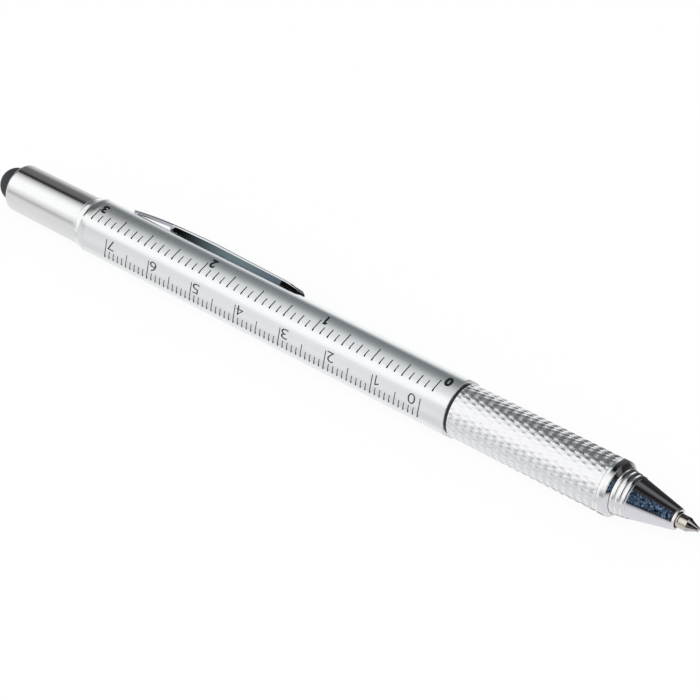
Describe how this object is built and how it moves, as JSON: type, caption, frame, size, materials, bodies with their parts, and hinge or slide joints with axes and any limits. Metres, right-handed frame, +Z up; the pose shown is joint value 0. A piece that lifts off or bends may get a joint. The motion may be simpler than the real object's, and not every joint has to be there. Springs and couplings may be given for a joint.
{
  "type": "multi tool pen",
  "caption": "Slim hexagonal metal pen with ruler scales, pocket clip, knurled twist grip, ballpoint tip, spirit level, capped screwdriver bit and rubber stylus end.",
  "frame": {"origin": "on the flat that the pen rests on, under the middle of the barrel's length", "axes": "+X along the pen towards its writing tip, +Z up from the flat that it rests on, +Y towards the clip's side"},
  "size_m": [0.1513, 0.0122, 0.01],
  "materials": {
    "satin_silver": "satin anodised",
    "chrome": "polished",
    "clip_chrome": "polished",
    "black_rubber": "matte",
    "black_plastic": "matte",
    "inner_brass": "turned",
    "bit_steel": "ground",
    "magnet": "plated",
    "inner_plastic": "moulded",
    "clear_vial": "clear",
    "clear_window": "clear",
    "level_liquid": "clear",
    "level_bubble": "clear",
    "refill_metal": "drawn",
    "tip_metal": "nickel plated",
    "ball_metal": "polished",
    "ink": "wet",
    "follower": "wet"
  },
  "bodies": {
    "barrel": {"barrel": "satin_silver", "rear_trim_ring": "chrome", "bit_holder": "satin_silver", "socket_magnet": "magnet", "level_cradle": "black_plastic", "level_vial": "clear_vial", "level_plug": "black_plastic", "level_liquid": "level_liquid", "level_window": "clear_window", "cam_tube": "inner_plastic", "thrust_washer": "black_plastic"},
    "cap": {"cap_shell": "chrome", "cap_insert": "inner_brass", "stylus_post": "black_plastic", "stylus_tip": "black_rubber"},
    "bit": {"screwdriver_bit": "bit_steel"},
    "clip": {"clip": "clip_chrome"},
    "bubble": {"level_bubble": "level_bubble"},
    "grip": {"guide_sleeve": "inner_brass", "retaining_ring": "bit_steel", "drag_ring": "black_rubber", "drive_bush": "inner_brass", "grip_sleeve": "satin_silver", "front_collar": "chrome", "thread_bush": "inner_brass"},
    "carrier": {"refill_carrier": "inner_plastic", "cam_pin": "bit_steel"},
    "refill": {"refill_tube": "refill_metal", "refill_tip": "tip_metal", "ink_column": "ink", "ink_follower": "follower"},
    "ball": {"writing_ball": "ball_metal"},
    "nose": {"nose_cone": "chrome"}
  },
  "joints": [
    {"name": "grip_twist", "type": "hinge", "parent": "barrel", "child": "grip", "pos_m": [0.041, 0, 0.005], "axis": [1, 0, 0], "range_deg": [0, 180]},
    {"name": "carrier_slide", "type": "slide", "parent": "grip", "child": "carrier", "axis": [1, 0, 0], "range_m": [-0.005, 0]},
    {"name": "refill_draw", "type": "slide", "parent": "carrier", "child": "refill", "axis": [1, 0, 0], "range_m": [0, 0.0078]},
    {"name": "ball_roll", "type": "hinge", "parent": "refill", "child": "ball", "pos_m": [0.0871, 0, 0.005], "axis": [0, 1, 0], "continuous": true},
    {"name": "nose_draw", "type": "slide", "parent": "grip", "child": "nose", "axis": [1, 0, 0], "range_m": [0, 0.026]},
    {"name": "cap_draw", "type": "slide", "parent": "barrel", "child": "cap", "axis": [-1, 0, 0], "range_m": [0, 0.044]},
    {"name": "bit_draw", "type": "slide", "parent": "barrel", "child": "bit", "axis": [-1, 0, 0], "range_m": [0, 0.022]},
    {"name": "clip_flex", "type": "hinge", "parent": "barrel", "child": "clip", "pos_m": [-0.0336, 0.00381, 0.0072], "axis": [0, -0.5, 0.866], "range_deg": [0, 3], "stiffness_Nm_per_rad": 2},
    {"name": "bubble_slide", "type": "slide", "parent": "barrel", "child": "bubble", "axis": [1, 0, 0], "range_m": [-0.008, 0.008]}
  ],
  "couplings": [
    {"joint": "carrier_slide", "follows": "grip_twist", "m_per_rad": -0.0015915},
    {"joint": "bit_draw", "follows": "cap_draw", "ratio": 0.5},
    {"joint": "refill_draw", "follows": "nose_draw", "ratio": 0.3}
  ]
}
